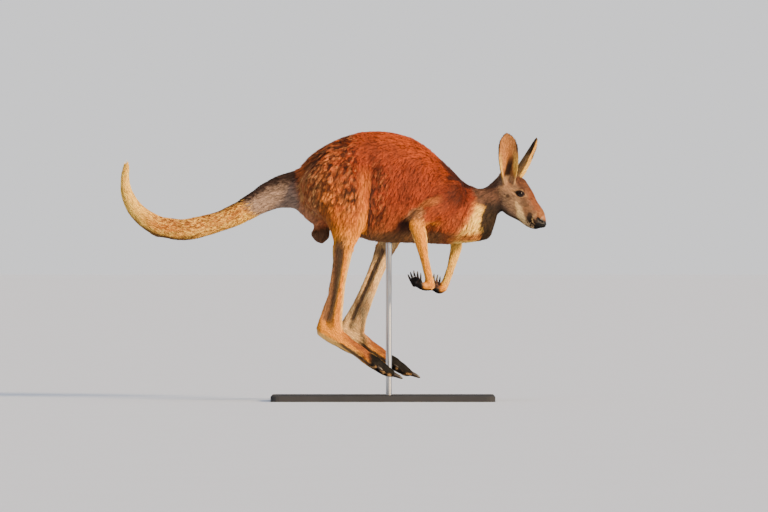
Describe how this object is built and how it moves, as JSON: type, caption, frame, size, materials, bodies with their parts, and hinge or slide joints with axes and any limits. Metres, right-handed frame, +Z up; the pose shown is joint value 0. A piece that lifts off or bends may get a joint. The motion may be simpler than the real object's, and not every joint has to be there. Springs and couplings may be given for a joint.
{
  "type": "red kangaroo",
  "caption": "Life-size male red kangaroo in full leap, body stretched, long hind feet swung forward, tail up, held over a flat base by one rod.",
  "frame": {"origin": "middle of the animal's width on the underside of the stand's base, below the body", "axes": "+X the way the animal faces, along its length; +Y its left; +Z up"},
  "size_m": [1.4497, 0.42, 0.9189],
  "materials": {
    "face_coat": "short grey-brown face hair",
    "back_coat": "rust-red coat",
    "tail_coat": "short buff and grey hair",
    "leg_coat": "short buff hair",
    "foot_coat": "short brown hair, black toes",
    "hand_skin": "black hair and bare palm",
    "ear_coat": "thin short hair over gristle",
    "bare_skin": "thinly haired skin",
    "eyeball": "dark wet eye",
    "claw_horn": "black horn",
    "stand_paint": "dark satin paint",
    "stand_steel": "satin steel"
  },
  "bodies": {
    "root": {"ear_left": "ear_coat", "ear_right": "ear_coat", "eye_left": "eyeball", "eye_right": "eyeball", "finger_claw_1_left": "claw_horn", "finger_claw_1_right": "claw_horn", "finger_claw_2_left": "claw_horn", "finger_claw_2_right": "claw_horn", "finger_claw_3_left": "claw_horn", "finger_claw_3_right": "claw_horn", "finger_claw_4_left": "claw_horn", "finger_claw_4_right": "claw_horn", "finger_claw_5_left": "claw_horn", "finger_claw_5_right": "claw_horn", "foot_left": "foot_coat", "foot_right": "foot_coat", "forearm_left": "leg_coat", "forearm_right": "leg_coat", "hand_left": "hand_skin", "hand_right": "hand_skin", "head": "face_coat", "lower_jaw": "face_coat", "neck": "back_coat", "scrotum": "bare_skin", "shank_left": "leg_coat", "shank_right": "leg_coat", "stand_base": "stand_paint", "stand_rod": "stand_steel", "tail_middle": "tail_coat", "tail_root": "tail_coat", "tail_tip": "tail_coat", "thigh_left": "back_coat", "thigh_right": "back_coat", "toe_claw_2_left": "claw_horn", "toe_claw_2_right": "claw_horn", "toe_claw_3_left": "claw_horn", "toe_claw_3_right": "claw_horn", "toe_claw_4_left": "claw_horn", "toe_claw_4_right": "claw_horn", "toe_claw_5_left": "claw_horn", "toe_claw_5_right": "claw_horn", "trunk": "back_coat", "upper_arm_left": "back_coat", "upper_arm_right": "back_coat"}
  },
  "joints": []
}
